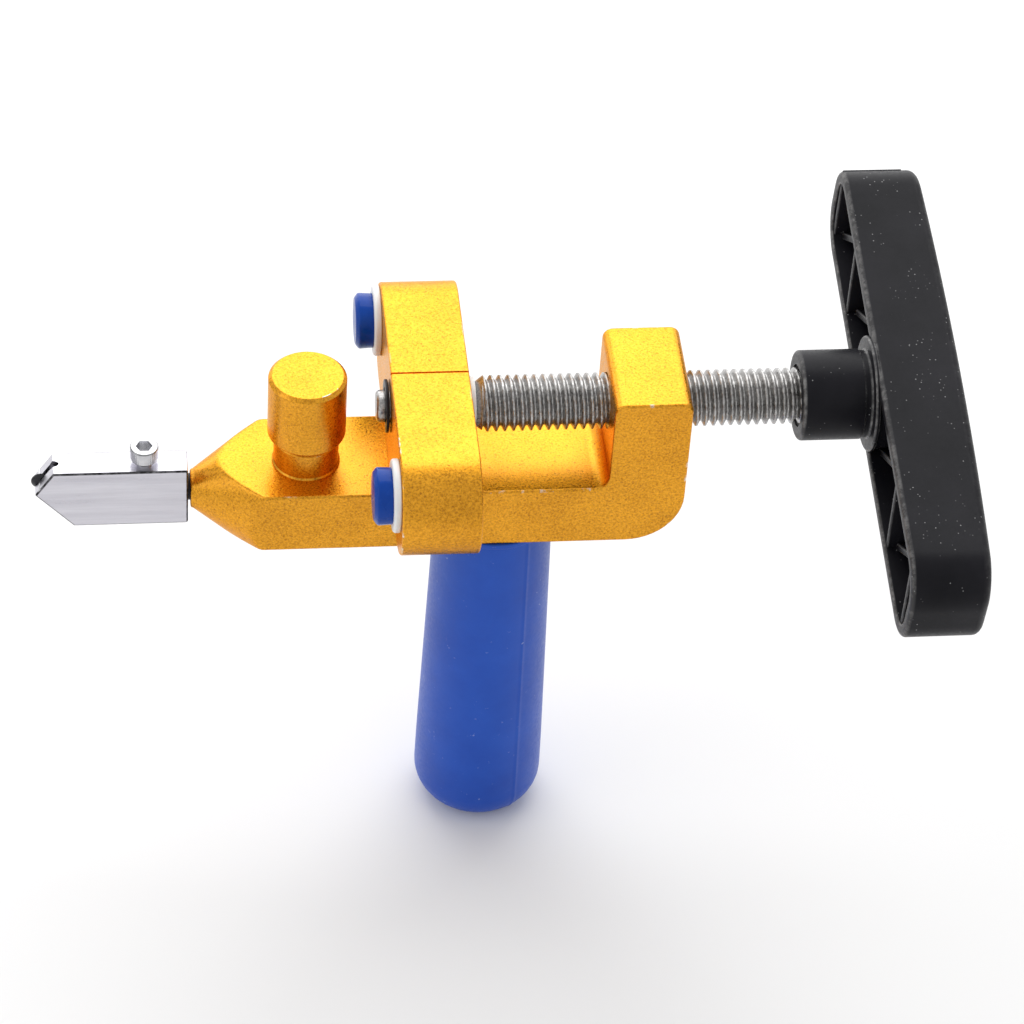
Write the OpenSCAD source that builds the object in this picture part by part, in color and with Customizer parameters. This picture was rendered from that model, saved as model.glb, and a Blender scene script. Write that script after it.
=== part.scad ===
// Hand-held glass cutter with a built-in screw-driven breaker.
// A cutting wheel sits in a head at the nose of an L-shaped bar. Behind it a post and a
// screw-driven crossbar with two pads bend the scored sheet until it parts.
// +X runs from the cutting wheel to the tee handle, +Z is up and the grip hangs down.
// The origin is the middle of the sheet seat, on the bar's top face.

/* [Bar] */
// Width of the bar
bar_w = 24; // [20:0.5:28]
// Height of the bar
bar_h = 14.4; // [12:0.2:18]
// Distance from the post's axis to the front of the rear bracket
bracket_gap = 59.9; // [56:0.1:80]
// Thickness of the rear bracket
bracket_t = 15.6; // [12:0.2:20]
// Height of the bracket above the bar
bracket_h = 22; // [20:0.5:28]
// Radius of the bracket's outer lower corner
bracket_r = 11.4; // [4:0.2:12]

/* [Nose] */
// Distance from the post's axis to the nose's tip
nose_len = 23.1; // [20:0.1:30]
// Radius of the nose at its tip
nose_tip_r = 3.6; // [3.5:0.1:5]
// Rise of the nose cone per unit of length
nose_slope = 0.73; // [0.6:0.01:1]

/* [Cutter head] */
// Length of the cutter head
head_len = 30.5; // [26:0.5:34]
// Height of the cutter head
head_h = 14.2; // [12:0.2:14.4]
// Thickness of the cutter head
head_t = 6.5; // [6:0.1:8]
// Radius of the cutting wheel
wheel_r = 2; // [1.5:0.1:2.4]

/* [Post] */
// Radius of the breaking post
post_r = 7.8; // [6.5:0.1:9]
// Height of the breaking post above the bar
post_h = 22.5; // [18:0.5:26]

/* [Crossbar] */
// Thickness of the crossbar along the screw
cross_t = 15.6; // [12:0.2:18]
// Height of the crossbar
cross_h = 22.6; // [20:0.2:24]
// Length of the crossbar from end to end
cross_len = 70.2; // [68:0.2:90]
// Distance from the mid-plane to each pad's centre
pad_y = 26.1; // [25:0.1:35]
// Radius of each pad
pad_r = 5.7; // [5:0.1:6]
// Thickness of each pad
pad_t = 3.9; // [3.6:0.1:6]

/* [Screw] */
// Radius over the screw's thread
screw_r = 5.65; // [5:0.05:6]
// Height of the screw's axis above the bar
screw_z = 13.1; // [11:0.1:13.5]

/* [Tee handle] */
// Length of the tee handle from end to end
tee_len = 110; // [90:0.2:130]
// Width of the tee handle
tee_w = 22.4; // [21.6:0.2:30]
// Depth of the tee handle's shell
tee_d = 15.7; // [14:0.1:20]
// Thickness of the shell's wall
tee_wall = 2.6; // [2:0.1:3]
// Turn of the tee handle about the screw, in degrees
tee_turn = 10.2; // [-90:0.2:90]

/* [Grip] */
// Distance from the post's axis to the grip's axis
grip_gap = 38.6; // [30:0.2:45]
// Radius of the grip at the bar
grip_top_r = 12; // [10:0.1:13]
// Radius of the grip near its lower end
grip_low_r = 13.6; // [12:0.1:16]
// Length of the grip
grip_len = 82.5; // [60:0.5:110]

/* [Hidden] */
$fn = 64;
far = 200;
eps = 0.01;

gold = "goldenrod";
steel = "silver";
blue = "royalblue";

// Fits: a turning shaft, a sliding face, and two moving faces that must stay apart
turn_fit = 0.05;
slide_fit = 0.2;
face_gap = 0.3;

// Stations along X
post_x = -12;
post_y = -0.8;
nose_drop = 0.5;
bracket_x = post_x + bracket_gap;
bar_end_x = bracket_x + bracket_t;
nose_x = post_x - nose_len;
cross_x = 4.4;
cross_rear_x = cross_x + cross_t;
grip_x = post_x + grip_gap;
axis_z = -bar_h / 2;
inner_fillet = 3;
top_round = 1.5;

// Cutter head and what it holds
head_gap = 0.5;
head_rear_x = nose_x - head_gap;
head_tip_x = head_rear_x - head_len;
head_top_z = axis_z + head_h / 2;
head_low_z = axis_z - head_h / 2;
tip_z = axis_z + 1.5;
upper_bevel = 3.7;
lower_bevel = 7.6;
stem_r = 2.7;
stem_in_nose = 15;
stem_in_head = 14;
clamp_x = head_rear_x - 8.6;
clamp_r = 1.5;
clamp_head_r = 2.85;
clamp_head_h = 3;
clamp_lift = 1.2;
clamp_hex_af = 3;
clamp_hex_deep = 1.6;
wheel_t = 1.1;
wheel_rim = 0.7;
wheel_slot = 1.9;
wheel_slot_back = 1.2;
wheel_out = 0.7;
axle_r = 0.6;
wheel_x = head_tip_x - wheel_out + wheel_r;
wheel_z = tip_z + 1.1;

// Post
neck_r = 6.5;
neck_h = 6.8;
post_chamfer = 0.7;
post_stud_r = 3;
post_stud_end = 10;

// Pads and their bases
pad_base_r = 7.25;
pad_base_t = 1.5;
pad_edge = 0.9;
pad_screw_r = 2;
pad_screw_head_r = 3.4;
pad_screw_head_h = 1.9;
pad_screw_in = 10;

// Crossbar
end_r = cross_h / 2;
cross_mid_z = 21.7 - end_r;
scribe = 0.5;

// Lead screw and what is on it
journal_r = 3.25;
journal_front_x = 1.7;
clip_t = 0.6;
clip_x = cross_x - face_gap - clip_t;
clip_r = 5.35;
clip_groove_r = 2.6;
clip_mouth = 4.4;
washer_t = 1;
washer_r = 5.5;
washer_x = cross_rear_x + face_gap;
shoulder_x = washer_x + washer_t;
thread_chamfer = 1;
bolt_head_af = 18;
bolt_head_t = 7.5;

// Tee handle
hub_r = 9.1;
hub_x = bar_end_x + 22.8;
hub_len = 14.1;
boss_r = 11.7;
boss_x = hub_x + hub_len;
boss_front = 0.6;
boss_lip = 0.4;
boss_core_r = tee_w / 2 - 0.2;
rim_x = boss_x + boss_front;
tee_back_x = rim_x + tee_d;
tee_back_wall = 3;
tee_back_round = 2;
tee_back_step = 0.8;
tee_crown = 1.3;
tee_crown_r = (tee_len / 2) ^ 2 / (2 * tee_crown);
tee_corner_r = 8.5;
tee_shift = -1;
rib_t = 1.4;
rib_recess = 0.4;
rib_turns = [8, 28.5, 31.5, 49, 51];
hub_recess = 1.2;
bolt_head_x = rim_x + 3;

// Grip
grip_end_r = 7;
grip_collar_h = 1.2;
grip_collar = 0.4;
insert_r = 6;
insert_len = 22;
stud_r = 4;
stud_in_bar = 10;
stud_in_grip = 18;

// A cylinder along +X from x to x + length
module rod_x(x, r, length, fn = 64) {
    translate([x, 0, 0]) rotate([0, 90, 0]) cylinder(r = r, h = length, $fn = fn);
}

// A solid of revolution about X whose 2D outline has radius as x and station as y
module turned_x() {
    rotate([0, 90, 0]) rotate_extrude() children();
}

// A flat outline drawn in X and Z, given a width centred on the mid-plane
module plate_xz(width) {
    translate([0, width / 2, 0]) rotate([90, 0, 0]) linear_extrude(width) children();
}

// An outline drawn in Y and Z, given a thickness along X
module plate_yz(x, thickness) {
    translate([x, 0, 0]) rotate([90, 0, 90]) linear_extrude(thickness) children();
}

module frame_outline() {
    difference() {
        union() {
            translate([nose_x, -bar_h]) square([bar_end_x - nose_x, bar_h]);
            translate([bracket_x, -bar_h]) square([bracket_t, bar_h + bracket_h]);
            translate([bracket_x - inner_fillet, -eps]) square([inner_fillet + eps, inner_fillet + eps]);
        }
        translate([bracket_x - inner_fillet, inner_fillet]) circle(r = inner_fillet);
        translate([bar_end_x, -bar_h]) corner(bracket_r, -1, 1);
        translate([bar_end_x, bracket_h]) corner(top_round, -1, -1);
        translate([bracket_x, bracket_h]) corner(top_round, 1, -1);
    }
}

// What a rounded corner removes: sx and sy point from the corner into the solid
module corner(r, sx, sy) {
    difference() {
        translate([sx > 0 ? -1 : -r, sy > 0 ? -1 : -r]) square(r + 1);
        translate([sx * r, sy * r]) circle(r = r);
    }
}

module nose_keep() {
    cone_len = (norm([bar_w / 2, bar_h / 2 + nose_drop]) - nose_tip_r) / nose_slope;
    translate([0, 0, axis_z - nose_drop]) {
        turned_x() polygon([
            [0, nose_x], [nose_tip_r, nose_x],
            [nose_tip_r + nose_slope * cone_len, nose_x + cone_len], [0, nose_x + cone_len]
        ]);
    }
    translate([nose_x + cone_len - eps, -far / 2, -far / 2]) cube(far);
}

module frame_body() {
    color(gold) difference() {
        intersection() {
            plate_xz(bar_w) frame_outline();
            nose_keep();
        }
        translate([0, 0, screw_z]) rod_x(bracket_x - 1, screw_r + turn_fit, bracket_t + 2);
        translate([0, 0, axis_z]) rod_x(nose_x - 1, stem_r, stem_in_nose + 1);
        translate([post_x, post_y, -post_stud_end]) cylinder(r = post_stud_r, h = post_stud_end + 1);
        translate([grip_x, 0, -bar_h - 1]) cylinder(r = stud_r, h = stud_in_bar + 1);
    }
}

module head_stem() {
    color(steel) translate([0, 0, axis_z])
        rod_x(head_rear_x - stem_in_head, stem_r, stem_in_head + head_gap + stem_in_nose);
}

module head_outline() {
    polygon([
        [head_rear_x, head_low_z], [head_rear_x, head_top_z],
        [head_tip_x + upper_bevel, head_top_z], [head_tip_x, tip_z],
        [head_tip_x + lower_bevel, head_low_z]
    ]);
}

module cutter_head() {
    color(steel) difference() {
        plate_xz(head_t) head_outline();
        translate([0, 0, axis_z]) rod_x(head_rear_x - stem_in_head, stem_r, stem_in_head + 1);
        translate([clamp_x, 0, axis_z]) cylinder(r = clamp_r, h = head_h);
        translate([wheel_x, wheel_slot / 2, wheel_z]) rotate([90, 0, 0])
            cylinder(r = wheel_r + face_gap, h = wheel_slot);
        translate([head_tip_x - 1, -wheel_slot / 2, wheel_z])
            cube([wheel_slot_back + 1 + wheel_out, wheel_slot, head_h]);
        translate([wheel_x, head_t / 2 + 1, wheel_z]) rotate([90, 0, 0])
            cylinder(r = axle_r, h = head_t + 2);
    }
}

module wheel_axle() {
    color(steel) translate([wheel_x, head_t / 2, wheel_z]) rotate([90, 0, 0])
        cylinder(r = axle_r, h = head_t);
}

module cutting_wheel() {
    color("dimgray") translate([wheel_x, 0, wheel_z]) rotate([90, 0, 0]) rotate_extrude()
        polygon([
            [axle_r + turn_fit, -wheel_t / 2], [wheel_r - wheel_rim, -wheel_t / 2], [wheel_r, 0],
            [wheel_r - wheel_rim, wheel_t / 2], [axle_r + turn_fit, wheel_t / 2]
        ]);
}

module head_clamp_screw() {
    stem_top_z = axis_z + stem_r;
    seat_z = head_top_z + clamp_lift;
    color(steel) translate([clamp_x, 0, 0]) difference() {
        union() {
            translate([0, 0, stem_top_z]) cylinder(r = clamp_r, h = seat_z - stem_top_z + eps);
            translate([0, 0, seat_z]) cylinder(r = clamp_head_r, h = clamp_head_h);
        }
        translate([0, 0, seat_z + clamp_head_h - clamp_hex_deep])
            cylinder(d = clamp_hex_af / cos(30), h = clamp_hex_deep + 1, $fn = 6);
    }
}

module breaking_post() {
    color(gold) translate([post_x, post_y, 0]) rotate_extrude() polygon([
        [post_stud_r, 0], [neck_r - 0.4, 0], [neck_r, 0.4], [neck_r, neck_h],
        [post_r - 1.2, neck_h], [post_r, neck_h + 1.2], [post_r, post_h - post_chamfer],
        [post_r - post_chamfer, post_h], [0, post_h], [0, post_stud_end], [post_stud_r, post_stud_end]
    ]);
}

module post_stud() {
    color(steel) translate([post_x, post_y, -post_stud_end])
        cylinder(r = post_stud_r, h = 2 * post_stud_end);
}

module crossbar_outline() {
    mid = cross_len / 2 - end_r;
    translate([-mid, cross_mid_z - end_r]) square([2 * mid, cross_h]);
    for (side = [-1, 1]) translate([side * mid, cross_mid_z]) circle(r = end_r);
}

module crossbar() {
    slot_w = bar_w + 2 * slide_fit;
    color(gold) difference() {
        plate_yz(cross_x, cross_t) crossbar_outline();
        translate([cross_x - 1, -slot_w / 2, -far + slide_fit]) cube([cross_t + 2, slot_w, far]);
        translate([0, 0, screw_z]) rod_x(cross_x - 1, journal_r + turn_fit, cross_t + 2);
        for (side = [-1, 1])
            translate([0, side * pad_y, screw_z]) rod_x(cross_x - 1, pad_screw_r, pad_screw_in + 1);
        translate([cross_x - 1, -scribe / 2, cross_mid_z + end_r - scribe / 2])
            cube([cross_t + 2, scribe, scribe]);
    }
}

module pad_base(side) {
    color("white") translate([0, side * pad_y, screw_z]) difference() {
        rod_x(cross_x - pad_base_t, pad_base_r, pad_base_t);
        rod_x(cross_x - pad_base_t - 1, pad_screw_r, pad_base_t + 2);
    }
}

module pad(side) {
    back_x = cross_x - pad_base_t;
    front_x = back_x - pad_t;
    cavity_x = back_x - pad_screw_head_h;
    color(blue) translate([0, side * pad_y, screw_z]) turned_x() polygon([
        [0, front_x], [pad_r - pad_edge, front_x], [pad_r, front_x + pad_edge], [pad_r, back_x],
        [pad_screw_head_r, back_x], [pad_screw_head_r, cavity_x], [0, cavity_x]
    ]);
}

module pad_screw(side) {
    head_back_x = cross_x - pad_base_t;
    color(steel) translate([0, side * pad_y, screw_z]) {
        rod_x(head_back_x - pad_screw_head_h, pad_screw_head_r, pad_screw_head_h);
        rod_x(head_back_x - eps, pad_screw_r, pad_base_t + pad_screw_in + eps);
    }
}

module lead_screw() {
    clip_end_x = clip_x + clip_t;
    color(steel) translate([0, 0, screw_z]) {
        turned_x() polygon([
            [0, journal_front_x], [journal_r - 0.4, journal_front_x],
            [journal_r, journal_front_x + 0.4], [journal_r, clip_x], [clip_groove_r, clip_x],
            [clip_groove_r, clip_end_x], [journal_r, clip_end_x], [journal_r, shoulder_x],
            [screw_r - thread_chamfer, shoulder_x], [screw_r, shoulder_x + thread_chamfer],
            [screw_r, bolt_head_x + eps], [0, bolt_head_x + eps]
        ]);
        rod_x(bolt_head_x, bolt_head_af / 2 / cos(30), bolt_head_t, 6);
    }
}

module retaining_clip() {
    color("black") translate([0, 0, screw_z]) plate_yz(clip_x, clip_t) difference() {
        circle(r = clip_r);
        circle(r = clip_groove_r);
        translate([-clip_mouth / 2, -clip_r - 1]) square([clip_mouth, clip_r + 1]);
    }
}

module thrust_washer() {
    color("gainsboro") translate([0, 0, screw_z]) difference() {
        rod_x(washer_x, washer_r, washer_t);
        rod_x(washer_x - 1, journal_r, washer_t + 2);
    }
}

// The handle's outline in its own plane: straight sides and round-cornered ends
module tee_outline(inset) {
    corner_r = tee_corner_r - inset;
    half_l = tee_len / 2 - inset - corner_r;
    half_w = tee_w / 2 - inset - corner_r;
    translate([tee_shift, 0]) {
        for (sy = [-1, 1]) for (sz = [-1, 1]) translate([sy * half_l, sz * half_w])
            circle(r = corner_r);
        square([2 * half_l, 2 * (half_w + corner_r)], center = true);
        square([2 * (half_l + corner_r), 2 * half_w], center = true);
    }
}

// Zigzag ribs from wall to wall, the two halves half a turn apart
module tee_ribs() {
    reach = tee_w / 2 - tee_wall;
    for (half = [0, 180]) rotate(half) for (i = [0 : len(rib_turns) - 2]) {
        run = rib_turns[i + 1] - rib_turns[i];
        rise = (i % 2 == 0 ? -2 : 2) * reach;
        translate([(rib_turns[i] + rib_turns[i + 1]) / 2, 0]) rotate(atan2(rise, run))
            square([norm([run, rise]) + 1, rib_t], center = true);
    }
}

// An outline drawn from the rim back to a face that bulges out in the middle
module crowned_plate(depth) {
    intersection() {
        plate_yz(rim_x, depth) children();
        translate([rim_x + depth - tee_crown_r, tee_shift, 0])
            cylinder(r = tee_crown_r, h = far, center = true, $fn = 720);
    }
}

module tee_handle() {
    pocket_d = tee_d - tee_back_wall;
    color([0.15, 0.15, 0.16]) translate([0, 0, screw_z]) rotate([tee_turn, 0, 0]) difference() {
        union() {
            difference() {
                union() {
                    crowned_plate(tee_d + tee_crown - tee_back_round) tee_outline(0);
                    crowned_plate(tee_d + tee_crown) tee_outline(tee_back_step);
                }
                plate_yz(rim_x - 1, pocket_d + 1) tee_outline(tee_wall);
            }
            plate_yz(rim_x + rib_recess, pocket_d - rib_recess + eps) intersection() {
                tee_ribs();
                tee_outline(tee_wall / 2);
            }
            rod_x(boss_x, boss_r, boss_front + boss_lip);
            rod_x(rim_x, boss_core_r, tee_back_x - rim_x - 1);
            rod_x(hub_x, hub_r, hub_len + eps);
        }
        rotate([-tee_turn, 0, 0]) {
            rod_x(hub_x - 1, screw_r, bolt_head_x - hub_x + 1 + eps);
            rod_x(bolt_head_x, bolt_head_af / 2 / cos(30), bolt_head_t, 6);
        }
        rod_x(hub_x - 1, screw_r + 1.4, hub_recess + 1);
    }
}

module grip() {
    top_z = -bar_h;
    low_z = top_z - grip_len;
    slope = (grip_low_r - grip_top_r) / (grip_len - grip_end_r);
    color(blue) translate([grip_x, 0, 0]) difference() {
        union() {
            rotate_extrude() polygon([
                [0, top_z], [grip_top_r + grip_collar, top_z],
                [grip_top_r + grip_collar, top_z - grip_collar_h],
                [grip_top_r + slope * grip_collar_h, top_z - grip_collar_h],
                [grip_low_r, low_z + grip_end_r], [0, low_z + grip_end_r]
            ]);
            rotate_extrude() {
                translate([0, low_z]) square([grip_low_r - grip_end_r, grip_end_r + eps]);
                intersection() {
                    translate([grip_low_r - grip_end_r, low_z + grip_end_r]) circle(r = grip_end_r);
                    translate([0, low_z]) square([grip_low_r, grip_end_r + eps]);
                }
            }
        }
        translate([0, 0, top_z - insert_len]) cylinder(r = insert_r, h = insert_len + 1);
    }
}

module grip_insert() {
    color("darkgoldenrod") translate([grip_x, 0, -bar_h - insert_len]) difference() {
        cylinder(r = insert_r, h = insert_len);
        translate([0, 0, insert_len - stud_in_grip]) cylinder(r = stud_r, h = stud_in_grip + 1);
    }
}

module grip_stud() {
    color(steel) translate([grip_x, 0, -bar_h - stud_in_grip])
        cylinder(r = stud_r, h = stud_in_grip + stud_in_bar);
}

frame_body();
head_stem();
cutter_head();
wheel_axle();
cutting_wheel();
head_clamp_screw();
breaking_post();
post_stud();
crossbar();
pad_base(-1);  // pad_base_near
pad_base(1);  // pad_base_far
pad(-1);  // pad_near
pad(1);  // pad_far
pad_screw(-1);  // pad_screw_near
pad_screw(1);  // pad_screw_far
lead_screw();
retaining_clip();
thrust_washer();
tee_handle();
grip();
grip_insert();
grip_stud();
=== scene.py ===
"""Looks of a hand-held glass cutter with a screw-driven breaker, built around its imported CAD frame.

Everything is in metres in the CAD frame: +X from the cutting wheel to the tee handle, +Z up,
origin in the middle of the bar's top face. Shapes that the CAD holds plainly are made again here
with rounded edges, a real thread and moulded detail, inside the same boxes.
"""

import math

import bmesh
import bpy
from mathutils import Matrix, Vector


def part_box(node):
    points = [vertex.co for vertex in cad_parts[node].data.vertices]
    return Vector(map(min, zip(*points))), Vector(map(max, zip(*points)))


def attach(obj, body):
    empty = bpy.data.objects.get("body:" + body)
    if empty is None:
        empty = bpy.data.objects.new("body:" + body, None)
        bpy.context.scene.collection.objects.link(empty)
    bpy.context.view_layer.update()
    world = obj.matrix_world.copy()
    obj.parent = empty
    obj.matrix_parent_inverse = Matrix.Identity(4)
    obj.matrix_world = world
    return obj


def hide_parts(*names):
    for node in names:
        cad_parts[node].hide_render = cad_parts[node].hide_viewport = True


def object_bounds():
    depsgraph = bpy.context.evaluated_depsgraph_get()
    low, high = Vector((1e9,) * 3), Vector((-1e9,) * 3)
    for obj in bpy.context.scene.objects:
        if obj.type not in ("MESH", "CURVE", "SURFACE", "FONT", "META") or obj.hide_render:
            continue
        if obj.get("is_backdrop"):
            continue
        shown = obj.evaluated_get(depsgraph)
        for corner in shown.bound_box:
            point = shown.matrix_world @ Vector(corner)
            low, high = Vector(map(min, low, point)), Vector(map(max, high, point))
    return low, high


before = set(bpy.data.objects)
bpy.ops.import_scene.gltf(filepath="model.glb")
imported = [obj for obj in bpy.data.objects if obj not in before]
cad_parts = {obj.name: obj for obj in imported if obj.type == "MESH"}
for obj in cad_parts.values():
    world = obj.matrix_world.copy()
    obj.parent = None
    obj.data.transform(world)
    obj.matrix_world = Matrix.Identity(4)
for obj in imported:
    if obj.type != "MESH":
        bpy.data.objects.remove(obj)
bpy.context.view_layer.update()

MM = 0.001
TAU = 2 * math.pi
EDGE = "edge"  # vertex attribute: 1 in the middle of a rounded edge, 0 on the faces beside it; the materials make it wear, painted edge shade or a painted highlight
CORE_R = 0.3 * MM  # turned profiles start this far from the axis, inside their flat end caps
SMOOTH_ANGLE = 40  # degrees: edges that fold more than this stay sharp


# ---------------------------------------------------------------- places, from the frame

class Box:
    """A CAD node's corners at rest, with its middle and size."""

    def __init__(self, node):
        self.lo, self.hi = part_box(node)
        self.mid = (self.lo + self.hi) / 2
        self.size = self.hi - self.lo


bar = Box("frame_body")
head = Box("cutter_head")
wheel = Box("cutting_wheel")
clamp = Box("head_clamp_screw")
post = Box("breaking_post")
cross = Box("crossbar")
screw = Box("lead_screw")
clip = Box("retaining_clip")
washer = Box("thrust_washer")
tee = Box("tee_handle")
grip = Box("grip")
stem = Box("head_stem")

SCREW_Z = washer.mid.z
BAR_TOP = 0.0
BAR_LOW = grip.hi.z
BAR_MID_Z = (BAR_TOP + BAR_LOW) / 2
BAR_HALF = bar.hi.y


# ---------------------------------------------------------------- outlines and profiles

def fillet(before, corner, after, radius, steps):
    """Points and edge values of an arc of that radius at a corner between two straight runs."""
    p = Vector(corner)
    to_a = (Vector(before) - p).normalized()
    to_b = (Vector(after) - p).normalized()
    half = to_a.angle(to_b) / 2
    if radius <= 0 or half > math.radians(89.5):
        return [(p.x, p.y, 0.0)]
    reach = radius / math.tan(half)
    middle = p + (to_a + to_b).normalized() * (radius / math.sin(half))
    start = p + to_a * reach - middle
    end = p + to_b * reach - middle
    turn = math.atan2(start.x * end.y - start.y * end.x, start.dot(end))
    made = []
    for i in range(steps + 1):
        share = i / steps
        spoke = Matrix.Rotation(turn * share, 2) @ start
        made.append((middle.x + spoke.x, middle.y + spoke.y, math.sin(math.pi * share)))
    return made


def profile(points, steps):
    """An open run of (a, b, radius) corners as a list of (a, b, edge value), each corner rounded."""
    made = [(points[0][0], points[0][1], 0.0)]
    for i in range(1, len(points) - 1):
        made += fillet(points[i - 1][:2], points[i][:2], points[i + 1][:2], points[i][2], steps)
    made.append((points[-1][0], points[-1][1], 0.0))
    return made


def inset_outline(corners, steps, spacing=None):
    """A closed anticlockwise outline of (u, v, radius) corners, as a function of its inset.

    With a spacing, straight runs are split into pieces about that long.
    """
    n = len(corners)
    splits = []
    for i in range(n):
        run = (Vector(corners[(i + 1) % n][:2]) - Vector(corners[i][:2])).length
        splits.append(round(run / spacing) if spacing else 0)

    def at(inset):
        moved = []
        for i in range(n):
            a, p, b = (Vector(corners[j % n][:2]) for j in (i - 1, i, i + 1))
            d1, d2 = (p - a).normalized(), (b - p).normalized()
            n1, n2 = Vector((-d1.y, d1.x)), Vector((-d2.y, d2.x))
            shift = (n1 + n2) * (inset / (1 + n1.dot(n2)))
            convex = d1.x * d2.y - d1.y * d2.x > 0
            radius = max(corners[i][2] + (-inset if convex else inset), 0.01 * MM)
            moved.append((p + shift, radius))
        arcs = []
        for i in range(n):
            before, after = moved[i - 1][0], moved[(i + 1) % n][0]
            arcs.append([Vector(q[:2]) for q in fillet(before, moved[i][0], after, moved[i][1], steps)])
        points = []
        for i, arc in enumerate(arcs):
            start, end = arc[-1], arcs[(i + 1) % n][0]
            points += arc + [start.lerp(end, k / splits[i]) for k in range(1, splits[i])]
        return points

    return at


# ---------------------------------------------------------------- meshes

def new_piece(name, bm, body, material, replaces, smooth_angle=SMOOTH_ANGLE):
    """A finished bmesh as an object that rides on a body and stands for its CAD nodes."""
    bmesh.ops.recalc_face_normals(bm, faces=bm.faces)
    mesh = bpy.data.meshes.new(name)
    bm.to_mesh(mesh)
    bm.free()
    obj = bpy.data.objects.new(name, mesh)
    bpy.context.scene.collection.objects.link(obj)
    mesh.materials.append(material)
    mesh.shade_smooth()
    mesh.set_sharp_from_angle(angle=math.radians(smooth_angle))
    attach(obj, body)
    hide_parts(*replaces)
    return obj


def loft(bm, loops, edge_values=None, cap_start=True):
    """Skins a list of equal loops of points. edge_values gives each loop's value of the edge attribute."""
    layer = bm.verts.layers.float.get(EDGE) or bm.verts.layers.float.new(EDGE)
    rings = []
    for i, loop in enumerate(loops):
        ring = [bm.verts.new(p) for p in loop]
        for v in ring:
            v[layer] = edge_values[i] if edge_values else 0.0
        rings.append(ring)
    count = len(rings[0])
    for a, b in zip(rings, rings[1:]):
        for i in range(count):
            j = (i + 1) % count
            bm.faces.new((a[i], a[j], b[j], b[i]))
    if cap_start:
        bm.faces.new(list(reversed(rings[0])))
    bm.faces.new(rings[-1])


def turned(bm, run, place, segments=96):
    """A solid of revolution: run is (radius, station, edge value), place(u, v, station) gives a point."""
    loops = []
    for radius, station, _ in run:
        spokes = (TAU * i / segments for i in range(segments))
        loops.append([place(radius * math.cos(t), radius * math.sin(t), station) for t in spokes])
    loft(bm, loops, [w for _, _, w in run])


def along_x(y, z):
    """Turned about an axis parallel to X through (y, z)."""
    return lambda u, v, s: Vector((s, y + u, z + v))


def along_y(x, z):
    """Turned about an axis parallel to Y through (x, z)."""
    return lambda u, v, s: Vector((x + u, s, z + v))


def along_z(x, y):
    """Turned about an axis parallel to Z through (x, y)."""
    return lambda u, v, s: Vector((x + u, y + v, s))


def slab(bm, outline, run, place):
    """An outline carried along a run of (inset, station, edge value)."""
    loops = [[place(u, v, s) for u, v in outline(inset)] for inset, s, _ in run]
    loft(bm, loops, [w for _, _, w in run])


def rounded_run(near, far, edge, steps=4):
    """The run of a plate from one face to the other with both edges rounded."""
    corners = [(2 * edge, near, 0), (0, near, edge), (0, far, edge), (2 * edge, far, 0)]
    return profile(corners, steps)[1:-1]


def cut(obj, tool_bm):
    """Takes a closed bmesh out of a piece."""
    mesh = bpy.data.meshes.new("tool")
    bmesh.ops.recalc_face_normals(tool_bm, faces=tool_bm.faces)
    tool_bm.to_mesh(mesh)
    tool_bm.free()
    tool = bpy.data.objects.new("tool", mesh)
    bpy.context.scene.collection.objects.link(tool)
    modifier = obj.modifiers.new("cut", "BOOLEAN")
    modifier.operation = "DIFFERENCE"
    modifier.solver = "EXACT"
    modifier.object = tool
    bpy.context.view_layer.update()
    shape = obj.evaluated_get(bpy.context.evaluated_depsgraph_get())
    made = bpy.data.meshes.new_from_object(shape)
    obj.modifiers.clear()
    obj.data = made
    made.shade_smooth()
    made.set_sharp_from_angle(angle=math.radians(SMOOTH_ANGLE))
    bpy.data.objects.remove(tool)


def weighted(obj):
    """Keeps flat faces flat beside narrow rounded edges."""
    modifier = obj.modifiers.new("normals", "WEIGHTED_NORMAL")
    modifier.keep_sharp = True
    modifier.weight = 90


def box_tool(lo, hi):
    """A closed box between two corners, for a cut."""
    bm = bmesh.new()
    bmesh.ops.create_cube(bm, size=1)
    middle = (Vector(lo) + Vector(hi)) / 2
    size = Vector(hi) - Vector(lo)
    for v in bm.verts:
        v.co = middle + Vector((v.co.x * size.x, v.co.y * size.y, v.co.z * size.z))
    return bm


def rod_tool(place, radius, start, end, segments=64):
    """A closed rod between two stations of an axis, for a cut."""
    bm = bmesh.new()
    turned(bm, [(radius, start, 0), (radius, end, 0)], place, segments)
    return bm


# ---------------------------------------------------------------- materials

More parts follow.
